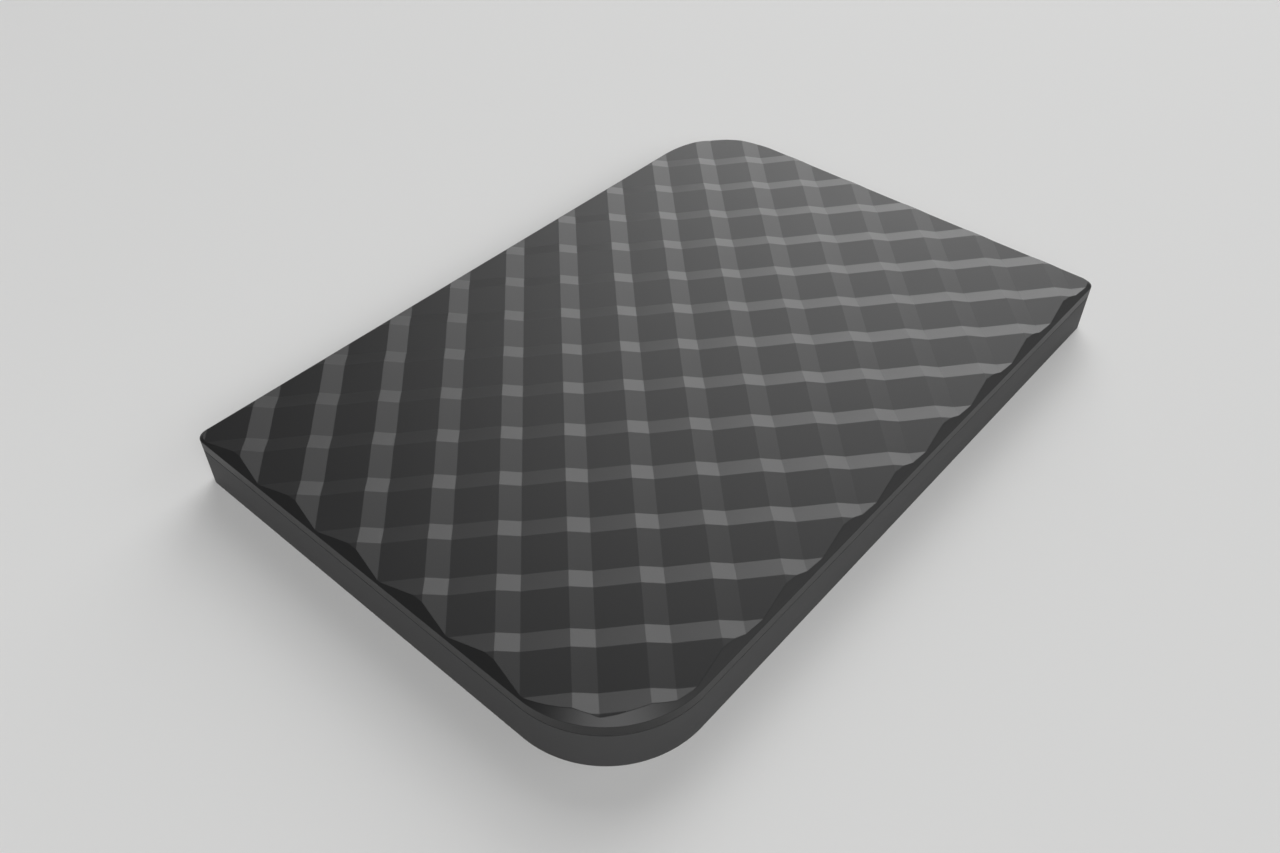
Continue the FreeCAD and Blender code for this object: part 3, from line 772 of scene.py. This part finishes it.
def pressed_facets_tree(material):
    """Builds a block with the ridges on top and keeps the part of the blank that lies in it."""
    sizes = ["Ridges", "Pitch", "Strip", "Height", "Mean", "Base"]
    tree, take, give = node_tree("pressed facets", [(name, "NodeSocketFloat") for name in sizes])
    lines = calc(tree, "MULTIPLY", take["Ridges"], 2.0)
    span = calc(tree, "SUBTRACT", lines, 1.0)
    size = add_node(tree, "ShaderNodeCombineXYZ", {"X": span, "Y": span, "Z": 1.0})
    block = add_node(tree, "GeometryNodeMeshCube", {
        "Size": size[0], "Vertices X": lines, "Vertices Y": lines, "Vertices Z": 2})
    place = add_node(tree, "GeometryNodeInputPosition", {})
    axes = add_node(tree, "ShaderNodeSeparateXYZ", {"Vector": place[0]})
    half = calc(tree, "MULTIPLY", span, 0.5)
    rule = ridge_rule()
    rows = []
    for axis in ("X", "Y"):
        group = tree.nodes.new("GeometryNodeGroup")
        group.node_tree = rule
        tree.links.new(calc(tree, "ADD", axes[axis], half), group.inputs["Line"])
        for name in ("Ridges", "Pitch", "Strip", "Height"):
            tree.links.new(take[name], group.inputs[name])
        rows.append(group.outputs)
    diagonal = math.sqrt(0.5)
    across = calc(tree, "MULTIPLY", calc(tree, "SUBTRACT", rows[0]["Place"], rows[1]["Place"]), diagonal)
    along = calc(tree, "MULTIPLY", calc(tree, "ADD", rows[0]["Place"], rows[1]["Place"]), diagonal)
    top = calc(tree, "ADD", take["Mean"], calc(tree, "ADD", rows[0]["Rise"], rows[1]["Rise"]))
    upper = calc(tree, "GREATER_THAN", axes["Z"], 0.0)
    lower = calc(tree, "SUBTRACT", 1.0, upper)
    base = calc(tree, "MULTIPLY", lower, take["Base"])
    height = calc(tree, "ADD", calc(tree, "MULTIPLY", upper, top), base)
    moved = add_node(tree, "ShaderNodeCombineXYZ", {"X": across, "Y": along, "Z": height})
    ridged = add_node(tree, "GeometryNodeSetPosition", {"Geometry": block[0], "Position": moved[0]})
    pressed = add_node(tree, "GeometryNodeMeshBoolean", {"Mesh 2": [take["Mesh"], ridged[0]]},
                       operation="INTERSECT", solver="EXACT")
    tree.links.new(make_real(tree, pressed[0], material), give["Mesh"])
    return tree


def polish(piece):
    """Rounds the ridges and the border of the facet field, as the mould's polish leaves them."""
    shape = bmesh.new()
    shape.from_mesh(piece.data)
    bmesh.ops.remove_doubles(shape, verts=shape.verts, dist=polish_radius / 4)
    facets = {face for face in shape.faces
              if face.normal.z > facet_upright and face.calc_center_median().z > rim_height}
    edges = [edge for edge in shape.edges if facets.intersection(edge.link_faces)
             and edge.calc_face_angle(0) > polish_turn]
    bmesh.ops.bevel(shape, geom=edges, offset=polish_radius, segments=2, profile=0.5, affect="EDGES",
                    clamp_overlap=False)
    shape.to_mesh(piece.data)
    shape.free()


# The cover's colour is painted darker than the case's, though both are one black plastic: painted shade that
# keeps the cover's skirt darker than the case walls.
cover_plastic_painted_darker = finish(
    "satin_cover_plastic_painted_darker", dark=(0.010, 0.010, 0.0103), light=(0.014, 0.014, 0.0144),
    gloss=0.41, rough=0.46, grain=9000.0, depth=0.000004)
grow(cover, pressed_facets_tree(cover_plastic_painted_darker), {
    "Ridges": ridge_count, "Pitch": ridge_pitch, "Strip": ridge_strip, "Height": ridge_height,
    "Mean": ridge_mean, "Base": lip_bottom - wall})
polish(cover)
shade(cover, cover_plastic_painted_darker, facet_sharp_degrees)
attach(cover, "root")
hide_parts("top_cover")

# Floor: a wide board under the drive, brushed with pale matt paint.
# It carries the drive and its shadow, and isn't part of it.
floor_half = 1.5
floor_shape = bmesh.new()
bmesh.ops.create_grid(floor_shape, x_segments=4, y_segments=4, size=floor_half)
floor = keep_piece("pale_floor", floor_shape)
floor_paint = finish(
    "pale_floor_paint", dark=(0.76, 0.76, 0.755), light=(0.80, 0.80, 0.795),
    gloss=0.7, rough=0.85, grain=900.0, depth=0.00001, tone=4.0, specular=0.2)
floor.data.materials.append(floor_paint)

# Light: a low and a high soft box behind the drive, one in front of its rounded corner and a wide,
# weak one to its right, in a dim room.
box_distance = 4.0


def soft_box(name, turn_degrees, rise_degrees, width, height, radiance):
    """Soft light aimed at the drive, given by its turn from +Y, its rise and its radiance."""
    turn = math.radians(turn_degrees)
    rise = math.radians(rise_degrees)
    direction = Vector((math.sin(turn) * math.cos(rise), math.cos(turn) * math.cos(rise), math.sin(rise)))
    lamp = bpy.data.lights.new(name, "AREA")
    lamp.shape = "RECTANGLE"
    lamp.size = width
    lamp.size_y = height
    lamp.energy = radiance * math.pi * width * height
    holder = bpy.data.objects.new(name, lamp)
    holder.location = direction * box_distance
    holder.rotation_euler = direction.to_track_quat("Z", "Y").to_euler()
    holder.visible_camera = False
    bpy.context.scene.collection.objects.link(holder)


soft_box("low_back_soft_box", turn_degrees=-21.4, rise_degrees=20.3, width=2.87, height=2.66, radiance=2.90)
soft_box("high_back_soft_box", turn_degrees=-36.3, rise_degrees=43.9, width=2.80, height=2.49, radiance=2.05)
soft_box("front_soft_box", turn_degrees=132.9, rise_degrees=39.4, width=3.80, height=2.00, radiance=4.34)
soft_box("right_soft_box", turn_degrees=65.3, rise_degrees=30.5, width=5.00, height=1.81, radiance=1.01)
room_grey = 0.1
room = bpy.data.worlds.new("dim_room")
room.use_nodes = True
room.node_tree.nodes["Background"].inputs["Color"].default_value = (room_grey, room_grey, room_grey, 1)
bpy.context.scene.world = room
bpy.context.scene.view_settings.view_transform = "Standard"

# Camera: close to the drive and above its near rounded corner, with a moderately wide lens,
# so that the sides draw together clearly towards the far end.
camera_place = (0.064944, -0.081758, 0.094004)
camera_tilt = math.radians(46.371)
camera_turn = math.radians(41.079)
view = bpy.data.cameras.new("camera")
view.sensor_width = 36.0
view.lens = 31.459
view.clip_start = 0.005
camera = bpy.data.objects.new("camera", view)
camera.location = camera_place
camera.rotation_euler = (camera_tilt, 0, camera_turn)
bpy.context.scene.collection.objects.link(camera)
bpy.context.scene.camera = camera
